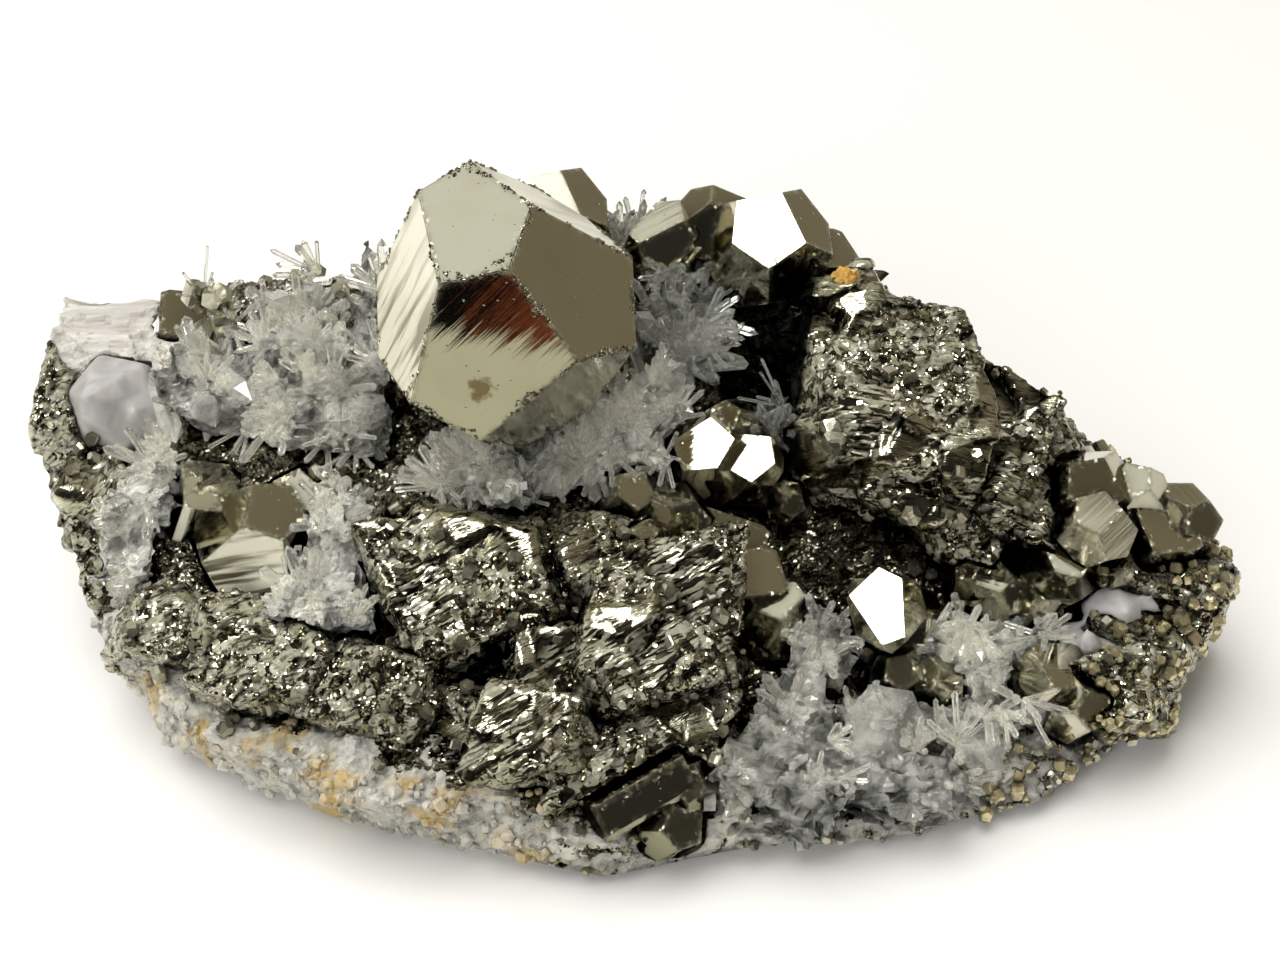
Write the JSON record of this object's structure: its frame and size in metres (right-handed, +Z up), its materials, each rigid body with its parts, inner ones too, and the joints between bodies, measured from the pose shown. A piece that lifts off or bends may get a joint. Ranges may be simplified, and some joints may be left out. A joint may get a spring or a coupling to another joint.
{
  "type": "pyrite and quartz mineral specimen",
  "caption": "Loose mineral specimen: mirror-bright pyrite crystals with five-sided faces and sprays of clear quartz on massive pyrite and iron-stained rock",
  "frame": {"origin": "middle of the flat foot that the specimen rests on, under the centre of its box", "axes": "X along the longest side, to the right as it is displayed; Y away from the viewer; Z up"},
  "size_m": [0.165, 0.1006, 0.0722],
  "materials": {
    "pyrite_mirror": "mirror-bright striated crystal faces, pale brass",
    "pyrite_granular": "granular and laminated, sparkling, brassy grey",
    "quartz_clear": "clear to cloudy crystal, glossy",
    "quartz_milky": "milky, lilac-grey, glossy",
    "quartz_fibrous": "silky fibrous white to pinkish",
    "rock": "rough grey rock with yellow-orange iron stain and pyrite grains"
  },
  "bodies": {
    "root": {"pyrite_crystal_large": "pyrite_mirror", "pyrite_crystals_back": "pyrite_mirror", "pyrite_crystals_left": "pyrite_mirror", "pyrite_crystals_top": "pyrite_mirror", "pyrite_crystals_pocket": "pyrite_mirror", "pyrite_crystals_centre": "pyrite_mirror", "pyrite_blocks_centre": "pyrite_mirror", "pyrite_crystals_right_pocket": "pyrite_mirror", "pyrite_crystals_cream_right": "pyrite_mirror", "pyrite_crystals_right_end": "pyrite_mirror", "pyrite_crystals_front": "pyrite_mirror", "pyrite_crystals_front_right": "pyrite_mirror", "pyrite_crystals_upper_left": "pyrite_mirror", "quartz_crystal_milky": "quartz_milky", "quartz_block_fibrous": "quartz_fibrous", "massive_pyrite_far_left": "pyrite_granular", "massive_pyrite_left": "pyrite_granular", "massive_pyrite_centre": "pyrite_granular", "massive_pyrite_right": "pyrite_granular", "matrix_rock": "rock", "quartz_cluster_left": "quartz_clear", "quartz_column_left": "quartz_clear", "quartz_patch": "quartz_clear", "quartz_cluster_centre": "quartz_clear", "quartz_cluster_upper": "quartz_clear", "quartz_cluster_back": "quartz_clear", "quartz_cluster_pocket": "quartz_clear", "quartz_cluster_right": "quartz_clear", "quartz_mass_front": "quartz_clear", "quartz_crystals_lilac": "quartz_milky"}
  },
  "joints": []
}
